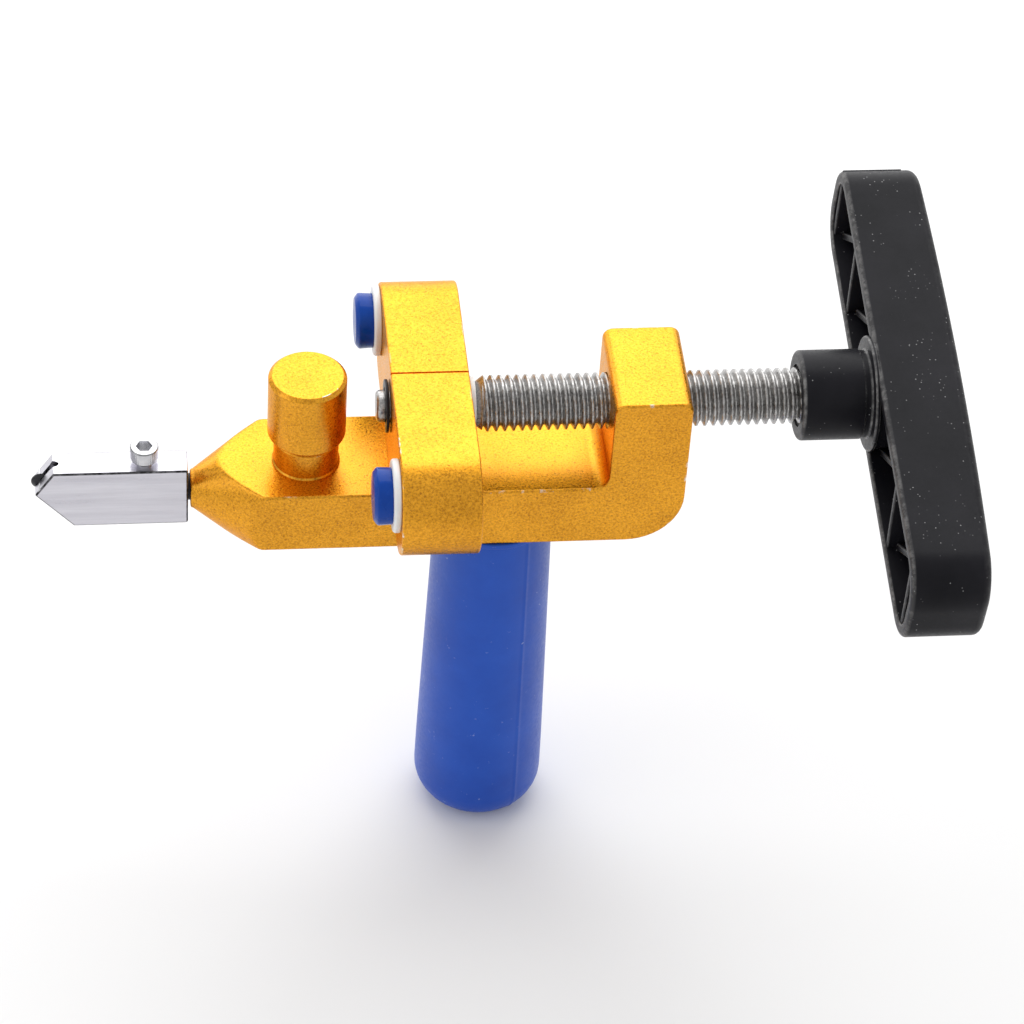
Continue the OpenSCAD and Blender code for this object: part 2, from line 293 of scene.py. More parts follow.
class Shader:
    """A node material with a principled shader, built one named step at a time."""

    def __init__(self, name, **sockets):
        self.material = bpy.data.materials.new(name)
        self.material.use_nodes = True
        self.tree = self.material.node_tree
        self.shader = self.tree.nodes["Principled BSDF"]
        for key, value in sockets.items():
            self.shader.inputs[key.replace("_", " ")].default_value = value
        self.coords = self.tree.nodes.new("ShaderNodeTexCoord").outputs["Object"]

    def link(self, a, b):
        self.tree.links.new(a, b)

    def stretch(self, x, y, z):
        node = self.tree.nodes.new("ShaderNodeMapping")
        node.inputs["Scale"].default_value = (x, y, z)
        self.link(self.coords, node.inputs["Vector"])
        return node.outputs["Vector"]

    def noise(self, scale, detail, rough, coords=None):
        node = self.tree.nodes.new("ShaderNodeTexNoise")
        node.inputs["Scale"].default_value = scale
        node.inputs["Detail"].default_value = detail
        node.inputs["Roughness"].default_value = rough
        self.link(coords or self.coords, node.inputs["Vector"])
        return node.outputs["Fac"]

    def cells(self, scale):
        node = self.tree.nodes.new("ShaderNodeTexVoronoi")
        node.inputs["Scale"].default_value = scale
        self.link(self.coords, node.inputs["Vector"])
        return node.outputs["Distance"]

    def attribute(self, name):
        node = self.tree.nodes.new("ShaderNodeAttribute")
        node.attribute_name = name
        return node.outputs["Fac"]

    def span(self, value, low, high, to_low=0.0, to_high=1.0):
        node = self.tree.nodes.new("ShaderNodeMapRange")
        numbers = {"From Min": low, "From Max": high, "To Min": to_low, "To Max": to_high}
        for key, number in numbers.items():
            node.inputs[key].default_value = number
        self.link(value, node.inputs["Value"])
        return node.outputs["Result"]

    def math(self, kind, a, b):
        node = self.tree.nodes.new("ShaderNodeMath")
        node.operation = kind
        for socket, value in zip(node.inputs, (a, b)):
            if isinstance(value, (int, float)):
                socket.default_value = value
            else:
                self.link(value, socket)
        return node.outputs["Value"]

    def mix(self, factor, a, b):
        node = self.tree.nodes.new("ShaderNodeMix")
        node.data_type = "RGBA"
        self.link(factor, node.inputs["Factor"])
        for key, value in (("A", a), ("B", b)):
            socket = [s for s in node.inputs if s.name == key and s.type == "RGBA"][0]
            if isinstance(value, tuple):
                socket.default_value = (*value, 1)
            else:
                self.link(value, socket)
        return [s for s in node.outputs if s.type == "RGBA"][0]

    def colour(self, value):
        self.link(value, self.shader.inputs["Base Color"])

    def rough(self, value):
        self.link(value, self.shader.inputs["Roughness"])

    def bump(self, height, distance, strength):
        node = self.tree.nodes.new("ShaderNodeBump")
        node.inputs["Strength"].default_value = strength
        node.inputs["Distance"].default_value = distance
        self.link(height, node.inputs["Height"])
        self.link(node.outputs["Normal"], self.shader.inputs["Normal"])


def gold_anodised():
    s = Shader("gold_anodised", Metallic=1.0, Coat_Weight=0.42, Coat_Roughness=0.25,
               Specular_Tint=(0.88, 0.62, 0.24, 1))
    grain = s.noise(2100, 4, 0.75)
    blotch = s.noise(90, 3, 0.5)
    tone = s.math("ADD", s.span(grain, 0.38, 0.62, 0, 0.8), s.span(blotch, 0.35, 0.65, 0, 0.2))
    base = s.mix(tone, (0.52, 0.205, 0.001), (0.96, 0.440, 0.022))
    pits = s.span(s.cells(800), 0.10, 0.24, 1, 0)
    base = s.mix(s.math("MULTIPLY", pits, 0.4), base, (0.24, 0.075, 0.002))
    rub = s.math("MULTIPLY", s.attribute(EDGE), s.span(s.noise(160, 5, 0.65), 0.57, 0.63))
    base = s.mix(rub, base, (0.80, 0.78, 0.74))
    s.colour(base)
    s.rough(s.span(grain, 0.38, 0.62, 0.24, 0.42))
    s.bump(s.math("SUBTRACT", grain, s.math("MULTIPLY", pits, 0.6)), 0.038 * MM, 0.9)
    return s.material


def head_metal():
    s = Shader("head_metal", Metallic=1.0)
    lines = s.noise(500, 5, 0.7, s.stretch(0.06, 1, 1))
    grain = s.noise(2200, 3, 0.6)
    base = s.mix(s.span(lines, 0.3, 0.7), (0.54, 0.53, 0.58), (0.70, 0.69, 0.74))
    # The rounded edges are darkened unevenly towards (0.035, 0.034, 0.036): painted shade, a dark line
    # along the edges that stands for the dark reflection on the bevels.
    uneven = s.span(s.noise(900, 3, 0.6), 0.3, 0.6, 0.7, 1)
    painted_edge_shade = s.math("MULTIPLY", s.span(s.attribute(EDGE), 0.1, 0.6), uneven)
    s.colour(s.mix(painted_edge_shade, base, (0.035, 0.034, 0.036)))
    s.rough(s.span(lines, 0.3, 0.7, 0.24, 0.40))
    s.bump(s.math("ADD", lines, s.math("MULTIPLY", grain, 0.5)), 0.008 * MM, 0.6)
    return s.material


def bright_steel():
    s = Shader("bright_steel", Metallic=1.0)
    smear = s.noise(700, 4, 0.6)
    base = s.mix(s.span(smear, 0.3, 0.7), (0.50, 0.50, 0.52), (0.70, 0.70, 0.72))
    # Rounded edges are darkened towards (0.12, 0.12, 0.125): painted edge shade that outlines the steel
    # parts.
    s.colour(s.mix(s.math("MULTIPLY", s.attribute(EDGE), 0.7), base, (0.12, 0.12, 0.125)))
    s.rough(s.span(smear, 0.3, 0.7, 0.13, 0.26))
    s.bump(smear, 0.006 * MM, 0.4)
    return s.material


def zinc_steel():
    s = Shader("zinc_steel", Metallic=1.0)
    grain = s.noise(1900, 4, 0.7)
    patch = s.noise(160, 4, 0.6)
    grime = s.span(patch, 0.48, 0.66)
    base = s.mix(s.span(grain, 0.3, 0.7), (0.19, 0.187, 0.183), (0.64, 0.63, 0.62))
    s.colour(s.mix(s.math("MULTIPLY", grime, 0.4), base, (0.16, 0.15, 0.14)))
    s.rough(s.span(grain, 0.3, 0.7, 0.24, 0.42))
    s.bump(grain, 0.02 * MM, 0.6)
    return s.material


def black_steel():
    s = Shader("black_steel", Metallic=0.5, Specular_IOR_Level=0.25)
    grain = s.noise(1500, 4, 0.6)
    s.colour(s.mix(grain, (0.006, 0.006, 0.007), (0.022, 0.020, 0.024)))
    s.rough(s.span(grain, 0.3, 0.7, 0.28, 0.48))
    s.bump(grain, 0.01 * MM, 0.5)
    return s.material


def carbide():
    s = Shader("carbide", Metallic=1.0)
    grain = s.noise(2600, 3, 0.6)
    s.colour(s.mix(grain, (0.02, 0.02, 0.022), (0.07, 0.07, 0.075)))
    s.rough(s.span(grain, 0.3, 0.7, 0.3, 0.5))
    s.bump(grain, 0.008 * MM, 0.5)
    return s.material


def white_plastic():
    s = Shader("white_plastic", Subsurface_Weight=0.08, Subsurface_Scale=0.001)
    tone = s.noise(300, 4, 0.6)
    s.colour(s.mix(tone, (0.70, 0.70, 0.70), (0.86, 0.86, 0.85)))
    s.rough(s.span(tone, 0.3, 0.7, 0.34, 0.48))
    s.bump(s.noise(1600, 3, 0.6), 0.01 * MM, 0.5)
    return s.material


def blue_pad():
    s = Shader("blue_pad", Coat_Weight=0.3, Coat_Roughness=0.05, Coat_IOR=1.4, Specular_IOR_Level=0.08)
    tone = s.noise(260, 4, 0.6)
    s.colour(s.mix(tone, (0.001, 0.036, 0.25), (0.003, 0.060, 0.38)))
    s.rough(s.span(tone, 0.3, 0.7, 0.22, 0.36))
    s.bump(s.noise(1400, 3, 0.6), 0.012 * MM, 0.5)
    return s.material


def blue_grip():
    s = Shader("blue_grip", Specular_IOR_Level=0.25, Subsurface_Weight=0.05, Subsurface_Scale=0.001)
    tone = s.noise(45, 4, 0.6)
    fine = s.noise(1300, 3, 0.6)
    base = s.mix(s.span(tone, 0.3, 0.7), (0.008, 0.062, 0.40), (0.014, 0.088, 0.50))
    grains = s.span(s.noise(900, 2, 0.5), 0.68, 0.74)
    dust = s.math("MULTIPLY", grains, s.span(s.noise(120, 3, 0.5), 0.5, 0.6))
    s.colour(s.mix(s.math("MULTIPLY", dust, 0.5), base, (0.35, 0.42, 0.62)))
    s.rough(s.span(fine, 0.3, 0.7, 0.30, 0.44))
    s.bump(fine, 0.012 * MM, 0.5)
    return s.material


def black_plastic():
    s = Shader("black_plastic", Specular_IOR_Level=0.12)
    fine = s.noise(1700, 4, 0.7)
    patch = s.noise(70, 4, 0.6)
    base = s.mix(s.span(patch, 0.3, 0.7), (0.005, 0.005, 0.007), (0.012, 0.0115, 0.015))
    dots = s.span(s.cells(900), 0.05, 0.15, 1, 0)
    specks = s.math("MULTIPLY", dots, s.span(s.noise(150, 3, 0.6), 0.50, 0.58))
    base = s.mix(s.math("MULTIPLY", specks, 0.7), base, (0.45, 0.45, 0.45))
    # Rounded edges are lightened towards (0.36, 0.355, 0.35): partly wear in specks, partly a painted
    # highlight, a light line along the rim's inner edge.
    rub = s.math("MULTIPLY", s.attribute(EDGE), s.span(s.noise(420, 5, 0.7), 0.44, 0.64, 0.25, 0.9))
    base = s.mix(s.math("MULTIPLY", rub, 0.7), base, (0.36, 0.355, 0.35))
    s.colour(base)
    s.rough(s.span(fine, 0.3, 0.7, 0.30, 0.46))
    s.bump(s.math("ADD", fine, specks), 0.02 * MM, 0.6)
    return s.material


def brass():
    s = Shader("brass", Metallic=1.0)
    grain = s.noise(900, 4, 0.6)
    s.colour(s.mix(grain, (0.62, 0.42, 0.14), (0.80, 0.58, 0.24)))
    s.rough(s.span(grain, 0.3, 0.7, 0.25, 0.4))
    s.bump(grain, 0.01 * MM, 0.5)
    return s.material


GOLD = gold_anodised()
HEAD = head_metal()
STEEL = bright_steel()
ZINC = zinc_steel()
BLACK_STEEL = black_steel()
CARBIDE = carbide()
WHITE = white_plastic()
PAD_BLUE = blue_pad()
GRIP_BLUE = blue_grip()
BLACK = black_plastic()
BRASS = brass()


# ---------------------------------------------------------------- bar, nose and bracket

BAR_EDGE = 0.6 * MM
BRACKET_R = 11.4 * MM
BRACKET_TOP_R = 2.1 * MM
BRACKET_FOOT_R = 3 * MM
BRACKET_T = 15.6 * MM
NOSE_TIP_R = 3.6 * MM
NOSE_SLOPE = 0.73
NOSE_DROP = 0.5 * MM
NOSE_BLEND = 0.5 * MM
NOSE_EDGE = 0.5 * MM
NOSE_STEPS = 4
SCREW_BORE_R = 5.7 * MM
STEM_GAP = 0.1 * MM
STEM_BORE_DEEP = 6 * MM
GRID = 0.6 * MM


def soft_min(a, b, width):
    """The smaller of two lengths, blended over a width where they are close."""
    share = max(width - abs(a - b), 0) / width
    return min(a, b) - share * share * width / 4


def spaced(start, end, step):
    """Numbers from start to end about a step apart, both ends included."""
    count = max(2, round(abs(end - start) / step) + 1)
    return [start + (end - start) * i / (count - 1) for i in range(count)]


def bar_body():
    """The bar and its bracket as one slab, with the cone of the nose skinned on to its front."""
    nose_x, rear_x = bar.lo.x, bar.hi.x
    front_x = rear_x - BRACKET_T
    corner = math.hypot(BAR_HALF, (BAR_TOP - BAR_LOW) / 2 + NOSE_DROP)
    join_x = nose_x + (corner - NOSE_TIP_R) / NOSE_SLOPE + 1 * MM
    side_z = spaced(BAR_TOP - BAR_EDGE, BAR_LOW + BAR_EDGE, GRID)[1:-1]
    ends = rounded_run(-BAR_HALF, BAR_HALF, BAR_EDGE)
    half = len(ends) // 2
    between = spaced(ends[half - 1][1], ends[half][1], GRID)[1:-1]
    run = ends[:half] + [(0.0, y, 0.0) for y in between] + ends[half:]

    def outline(inset):
        top, low = BAR_TOP - inset, BAR_LOW + inset
        corners = [
            (rear_x - inset, low, BRACKET_R - inset),
            (rear_x - inset, bar.hi.z - inset, BRACKET_TOP_R - inset),
            (front_x + inset, bar.hi.z - inset, BRACKET_TOP_R - inset),
            (front_x + inset, top, BRACKET_FOOT_R + inset),
        ]
        start, end = (join_x, low), (join_x, top)
        points = [start]
        for i, (x, z, r) in enumerate(corners):
            before = start if i == 0 else corners[i - 1][:2]
            after = end if i == 3 else corners[i + 1][:2]
            points += [q[:2] for q in fillet(before, (x, z), after, r, 12 if i in (0, 3) else 5)]
        points.append(end)
        reach = (top - low) / (BAR_TOP - BAR_LOW - 2 * BAR_EDGE)
        return points + [(join_x, BAR_MID_Z + (z - BAR_MID_Z) * reach) for z in side_z]

    def place(u, v, s):
        return Vector((u, s, v))

    bm = bmesh.new()
    slab(bm, outline, run, place)
    inner = [f for f in bm.faces if all(abs(v.co.x - join_x) < 1e-7 for v in f.verts)]
    bmesh.ops.delete(bm, geom=inner, context="FACES_ONLY")

    top = [(y, BAR_TOP - inset) for inset, y, _ in run]
    low = [(y, BAR_LOW + inset) for inset, y, _ in reversed(run)]
    far_side = [(BAR_HALF, z) for z in side_z]
    near_side = [(-BAR_HALF, z) for z in reversed(side_z)]
    section = top + far_side + low + near_side
    loops = []
    for x in spaced(join_x, nose_x + NOSE_EDGE, GRID):
        cone = NOSE_TIP_R + NOSE_SLOPE * (x - nose_x)
        loops.append(nose_loop(section, x, cone))
    for step in range(1, NOSE_STEPS + 1):
        angle = step / NOSE_STEPS * math.pi / 2
        x = nose_x + NOSE_EDGE * (1 - math.sin(angle))
        cone = NOSE_TIP_R + NOSE_SLOPE * NOSE_EDGE - NOSE_EDGE * (1 - math.cos(angle))
        loops.append(nose_loop(section, x, cone))
    loft(bm, loops, cap_start=False)
    bmesh.ops.remove_doubles(bm, verts=bm.verts, dist=1e-6)
    obj = new_piece("bar_and_bracket", bm, "frame", GOLD, ["frame_body"])
    cut(obj, rod_tool(along_x(0, SCREW_Z), SCREW_BORE_R, front_x - MM, rear_x + MM))
    stem_bore_r = stem.size.z / 2 + STEM_GAP
    cut(obj, rod_tool(along_x(0, BAR_MID_Z), stem_bore_r, nose_x - MM, nose_x + STEM_BORE_DEEP))
    weighted(obj)


def nose_loop(section, x, cone):
    """The bar's section, drawn in to the cone's radius where it is outside it."""
    axis_z = BAR_MID_Z - NOSE_DROP
    loop = []
    for y, z in section:
        out = math.hypot(y, z - axis_z)
        share = soft_min(out, cone, NOSE_BLEND) / out
        loop.append(Vector((x, y * share, axis_z + (z - axis_z) * share)))
    return loop


# ---------------------------------------------------------------- cutter head

def cutter_head():
    upper, lower, tip_rise, edge = 3.7 * MM, 7.6 * MM, 1.5 * MM, 0.45 * MM
    corner_r, tip_r = 0.5 * MM, 0.4 * MM
    corners = [
        (head.lo.x + lower, head.lo.z, corner_r), (head.hi.x, head.lo.z, corner_r),
        (head.hi.x, head.hi.z, corner_r), (head.lo.x + upper, head.hi.z, corner_r),
        (head.lo.x, head.mid.z + tip_rise, tip_r),
    ]
    bm = bmesh.new()
    slab(bm, inset_outline(corners, 4), rounded_run(head.lo.y, head.hi.y, edge), along_y(0, 0))
    obj = new_piece("head_block", bm, "frame", HEAD, ["cutter_head"])
    slot_half, slot_deep, slot_past = 0.75 * MM, 1.3 * MM, 2 * MM
    hole_r, hole_deep = 0.95 * MM, 1.6 * MM
    wheel_gap, screw_bore_r, screw_bore_deep = 0.3 * MM, 1.6 * MM, 5 * MM
    bevel_low = Vector((head.lo.x, head.mid.z + tip_rise))
    bevel_top = Vector((head.lo.x + upper, head.hi.z))
    along = (bevel_top - bevel_low).normalized()
    inward = Vector((along.y, -along.x))
    slot_end = bevel_top - along * hole_r * 0.3
    slot_start = bevel_low - along * slot_past
    outline = [slot_start - inward * MM, slot_end - inward * MM,
               slot_end + inward * slot_deep, slot_start + inward * slot_deep]
    slot = bmesh.new()
    loft(slot, [[Vector((p.x, y, p.y)) for p in outline] for y in (-slot_half, slot_half)])
    cut(obj, slot)

    def into_bevel(u, v, s):
        spot = slot_end + inward * s + along * u
        return Vector((spot.x, v, spot.y))

    cut(obj, rod_tool(into_bevel, hole_r, -MM, hole_deep, 32))
    wheel_room = wheel.size.x / 2 + wheel_gap
    cut(obj, rod_tool(along_y(wheel.mid.x, wheel.mid.z), wheel_room, -slot_half, slot_half))
    top = head.hi.z
    cut(obj, rod_tool(along_z(clamp.mid.x, 0), screw_bore_r, top - screw_bore_deep, top + MM, 48))
    weighted(obj)


def cutting_wheel():
    r, t = wheel.size.x / 2, wheel.size.y / 2
    hub, rim, shoulder, point = 0.65 * MM, 0.7 * MM, 0.1 * MM, 0.02 * MM
    run = profile([
        (hub, -t, 0), (r - rim, -t, shoulder), (r, 0, point), (r - rim, t, shoulder), (hub, t, 0),
    ], 3)
    bm = bmesh.new()
    turned(bm, run, along_y(wheel.mid.x, wheel.mid.z))
    new_piece("wheel_disc", bm, "wheel", CARBIDE, ["cutting_wheel"], 25)


def axle_pin():
    """The wheel's axle. Its ends stay just under the head's sides, so they don't show."""
    pin = Box("wheel_axle")
    cover, edge, core = 0.2 * MM, 0.05 * MM, 0.1 * MM
    r = pin.size.x / 2
    near, far = pin.lo.y + cover, pin.hi.y - cover
    run = profile([(core, near, 0), (r, near, edge), (r, far, edge), (core, far, 0)], 3)
    bm = bmesh.new()
    turned(bm, run, along_y(pin.mid.x, pin.mid.z), 32)
    new_piece("pin", bm, "frame", STEEL, ["wheel_axle"])


def clamp_screw():
    top, r = clamp.hi.z, clamp.size.x / 2
    head_h, shank, core = 3 * MM, 1.5 * MM, 0.2 * MM
    hex_r, hex_deep = 1.73 * MM, 1.6 * MM
    knurls, dent, plain = 40, 0.06 * MM, 0.4 * MM
    seat = top - head_h
    x = clamp.mid.x
    run = profile([
        (core, clamp.lo.z, 0), (shank, clamp.lo.z, 0.2 * MM), (shank, seat, 0.05 * MM),
        (r, seat, 0.2 * MM), (r, top, 0.35 * MM), (core, top, 0),
    ], 4)
    bm = bmesh.new()
    segments = 160
    loops = []
    for radius, z, _ in run:
        ring = []
        knurled = seat + plain < z < top - plain or abs(radius - r) < 0.02 * MM
        for i in range(segments):
            t = TAU * i / segments
            grip_r = radius - (dent * (0.5 + 0.5 * math.cos(knurls * t)) if knurled else 0)
            ring.append(Vector((x + grip_r * math.cos(t), grip_r * math.sin(t), z)))
        loops.append(ring)
    loft(bm, loops, [w for _, _, w in run])
    obj = new_piece("socket_screw", bm, "frame", STEEL, ["head_clamp_screw"])
    cut(obj, rod_tool(along_z(x, 0), hex_r, top - hex_deep, top + MM, 6))
    weighted(obj)


# ---------------------------------------------------------------- post

def breaking_post():
    r, neck, neck_h = post.size.x / 2, 6.5 * MM, 6.8 * MM
    ring, ring_h, chamfer, shoulder = 6.8 * MM, 0.45 * MM, 0.75 * MM, 1.3 * MM
    groove, fine, soft = neck - 0.35 * MM, 0.1 * MM, 0.35 * MM
    top = post.hi.z
    run = profile([
        (CORE_R, 0, 0), (ring, 0, 0.05 * MM), (ring, ring_h, 0.18 * MM),
        (neck, ring_h + 0.3 * MM, 0.2 * MM), (neck, neck_h - 0.5 * MM, fine),
        (groove, neck_h - 0.2 * MM, fine), (groove, neck_h, fine), (r - shoulder, neck_h, 0.3 * MM),
        (r, neck_h + shoulder, 0.5 * MM), (r, top - chamfer, soft), (r - chamfer, top, soft),
        (CORE_R, top, 0),
    ], 5)
    bm = bmesh.new()
    turned(bm, run, along_z(post.mid.x, post.mid.y), 128)
    weighted(new_piece("post_turned", bm, "frame", GOLD, ["breaking_post"]))


# ---------------------------------------------------------------- crossbar and pads

CROSS_EDGE = 0.45 * MM
SLOT_GAP = 0.2 * MM
SLOT_HALF = BAR_HALF + SLOT_GAP
SLOT_TOP = BAR_TOP + SLOT_GAP
SLOT_CORNER_R = 0.05 * MM
SLOT_MOUTH_R = 0.5 * MM
JOURNAL_BORE_R = 3.3 * MM
SCRIBE = 0.5 * MM


def crossbar():
    end_r = cross.size.z / 2 - 0.001 * MM
    corners = [
        (cross.lo.y, cross.lo.z, end_r), (-SLOT_HALF, cross.lo.z, SLOT_MOUTH_R),
        (-SLOT_HALF, SLOT_TOP, SLOT_CORNER_R), (SLOT_HALF, SLOT_TOP, SLOT_CORNER_R),
        (SLOT_HALF, cross.lo.z, SLOT_MOUTH_R), (cross.hi.y, cross.lo.z, end_r),
        (cross.hi.y, cross.hi.z, end_r), (cross.lo.y, cross.hi.z, end_r),
    ]
    bm = bmesh.new()
    slab(bm, inset_outline(corners, 20), rounded_run(cross.lo.x, cross.hi.x, CROSS_EDGE),
         lambda u, v, s: Vector((s, u, v)))
    obj = new_piece("crossbar_body", bm, "slider", GOLD, ["crossbar"])
    start, end = cross.lo.x - MM, cross.hi.x + MM
    cut(obj, box_tool((start, -SCRIBE / 2, cross.hi.z - SCRIBE), (end, SCRIBE / 2, cross.hi.z + MM)))
    cut(obj, rod_tool(along_x(0, SCREW_Z), JOURNAL_BORE_R, start, end))
    weighted(obj)


def pads():
    for side in ("near", "far"):
        base, button = Box("pad_base_" + side), Box("pad_" + side)
        place = along_x(base.mid.y, base.mid.z)
        r = base.size.y / 2
        run = profile([
            (CORE_R, base.hi.x, 0), (r, base.hi.x, 0.35 * MM),
            (r, base.lo.x, 0.6 * MM), (CORE_R, base.lo.x, 0),
        ], 5)
        bm = bmesh.new()
        turned(bm, run, place)
        new_piece("pad_washer_" + side, bm, "slider", WHITE, ["pad_base_" + side])
        r, dome, taper, shoulder = button.size.y / 2, 0.25 * MM, 0.15 * MM, 1 * MM
        run = profile([
            (CORE_R, button.hi.x, 0), (r - taper, button.hi.x, 0.1 * MM),
            (r, button.lo.x + shoulder, 0.6 * MM), (r - shoulder, button.lo.x + dome, 0.8 * MM),
            (CORE_R, button.lo.x, 0),
        ], 6)
        bm = bmesh.new()
        turned(bm, run, place)
        new_piece("pad_button_" + side, bm, "slider", PAD_BLUE, ["pad_" + side])


# ---------------------------------------------------------------- lead screw, clip and washer

PITCH = 1.75 * MM
CREST_R = 5.65 * MM
ROOT_R = CREST_R - 0.61 * PITCH
JOURNAL_R = 3.25 * MM
JOURNAL_STEP = 0.04 * MM
GROOVE_R = 2.6 * MM
BOLT_HEAD_T = 7.5 * MM
BOLT_FLAT_R = 9 * MM
CREST_SHARE = 0.16
FLANK_SHARE = 0.62
START_DEPTH = 0.3 * MM
START_SLOPE = 0.75
CUT_IN_AT = 1.1 * MM
CUT_IN_OVER = 0.6 * MM


def thread_height(phase):
    """Share of the thread's depth at a phase of one turn: flat crest, 60 degree flanks, round root."""
    away = abs((phase % 1.0) - 0.5) * 2
    return min(max((away - CREST_SHARE) / FLANK_SHARE, 0), 1)


def lead_screw():
    """Journal, thread and hexagon head in one piece. The thread's lead is the coupling's."""
    start_x, end_x = washer.hi.x, screw.hi.x - BOLT_HEAD_T
    segments, per_turn = 72, 14
    place = along_x(0, SCREW_Z)
    root = ROOT_R - START_DEPTH
    journal = profile([
        (CORE_R, screw.lo.x, 0), (JOURNAL_R, screw.lo.x, 0.8 * MM), (JOURNAL_R, clip.lo.x, JOURNAL_STEP),
        (GROOVE_R, clip.lo.x, JOURNAL_STEP), (GROOVE_R, clip.hi.x, JOURNAL_STEP),
        (JOURNAL_R, clip.hi.x, JOURNAL_STEP), (JOURNAL_R, start_x, JOURNAL_STEP), (root, start_x, 0),
    ], 4)
    loops = []
    for radius, x, _ in journal:
        spokes = (TAU * i / segments for i in range(segments))
        loops.append([place(radius * math.cos(a), radius * math.sin(a), x) for a in spokes])
    for x in spaced(start_x, end_x, PITCH / per_turn)[1:]:
        chamfer = root + (x - start_x) * START_SLOPE
        cut_in = min(max((x - start_x - CUT_IN_AT) / CUT_IN_OVER, 0), 1)
        ring = []
        for i in range(segments):
            share = i / segments
            height = 1 - cut_in * (1 - thread_height(x / PITCH - share))
            r = min(ROOT_R + (CREST_R - ROOT_R) * height, chamfer)
            ring.append(place(r * math.cos(TAU * share), r * math.sin(TAU * share), x))
        loops.append(ring)
    bm = bmesh.new()
    loft(bm, loops)
    corner = BOLT_FLAT_R / math.cos(math.pi / 6)
    turns = [TAU * i / 6 for i in range(6)]
    hexagon = [(math.cos(a) * corner, math.sin(a) * corner, 0.6 * MM) for a in turns]
    slab(bm, inset_outline(hexagon, 3), rounded_run(end_x, screw.hi.x, 0.5 * MM), place)
    new_piece("screw_threaded", bm, "screw", ZINC, ["lead_screw"], 35)


def retaining_clip():
    """An E shape: a ring open at the bottom, with three prongs that reach into the groove."""
    outer, prong, gap, edge = clip.size.y / 2, GROOVE_R + 0.03 * MM, 3.75 * MM, 0.1 * MM
    mouth, prong_in, count = 27, 12, 60
    prong_cos, blend = 0.93, 0.03
    prongs = (90, -90 + mouth + prong_in, 270 - mouth - prong_in)

    def ring_point(r, degrees):
        return r * math.cos(math.radians(degrees)), r * math.sin(math.radians(degrees))

    def outline(inset):
        open_to = mouth + math.degrees(inset / outer)
        angles = [-90 + open_to + (360 - 2 * open_to) * i / count for i in range(count + 1)]
        out = [ring_point(outer - inset, a) for a in angles]
        inner = []
        for a in reversed(angles):
            at_prong = max(math.cos(math.radians(a - b)) for b in prongs)
            share = min(max((at_prong - prong_cos) / blend, 0), 1)
            inner.append(ring_point(gap + (prong - gap) * share + inset, a))
        return out + inner

    bm = bmesh.new()
    slab(bm, outline, rounded_run(clip.lo.x, clip.hi.x, edge, 2), along_x(0, SCREW_Z))
    new_piece("e_clip", bm, "screw", BLACK_STEEL, ["retaining_clip"])


def thrust_washer():
    """A disc with rounded edges. Its middle lies inside the journal, so it has no bore."""
    r, bore, edge = washer.size.y / 2, JOURNAL_R, 0.2 * MM
    run = profile([
        (bore, washer.lo.x, 0), (r, washer.lo.x, edge), (r, washer.hi.x, edge), (bore, washer.hi.x, 0),
    ], 4)
    bm = bmesh.new()
    turned(bm, run, along_x(0, SCREW_Z))
    new_piece("screw_washer", bm, "screw", WHITE, ["thrust_washer"])


# ---------------------------------------------------------------- tee handle

TEE_TURN = math.radians(10.2)
TEE_LEN = 110 * MM
TEE_W = 22.4 * MM
TEE_SHIFT = -1 * MM
TEE_D = 17 * MM
TEE_WALL = 2.6 * MM
TEE_FLOOR = 4.3 * MM
TEE_CORNER = 8.5 * MM
BACK_ROUND = 2 * MM
LIP_ROUND = 1.0 * MM
RIB_T = 1.4 * MM
RIB_ROUND = 0.35 * MM
RIB_INTO_WALL = 0.3 * MM
RIB_RECESS = (0.5 * MM, 2.4 * MM)
TEE_CROWN = 1.3 * MM
TEE_GRID = 3 * MM
BACK_SLIVER = 0.02 * MM
FLOOR_SLIVER = 0.2 * MM
RIB_TURNS = (8 * MM, 28.5 * MM, 31.5 * MM, 49 * MM, 51 * MM)
HUB_R = 9.1 * MM
BOSS_R = 11.7 * MM
BOSS_FRONT = 0.6 * MM
BOSS_LIP = 0.4 * MM
BOSS_CORE_R = TEE_W / 2 - 0.2 * MM


def tee_place(u, v, s):
    """A point of the handle: u along it, v across it, s along the screw. The back is crowned."""
    share = min(max((s - tee.hi.x + TEE_D) / TEE_D, 0), 1)
    s -= share * TEE_CROWN * ((u - TEE_SHIFT) / (TEE_LEN / 2)) ** 2
    return Vector((s, u * math.cos(TEE_TURN) - v * math.sin(TEE_TURN),
                   SCREW_Z + u * math.sin(TEE_TURN) + v * math.cos(TEE_TURN)))


def tee_edge_wear_and_highlight(inset, depth):
    """How much the shell's edges are lightened, partly as wear and partly as a painted highlight: most on
    the rim's inner edge, where it paints a light line, hardly at the back.
    """
    if depth > TEE_D / 2:
        return 0.12
    return 1.0 if inset > TEE_WALL / 2 else 0.7


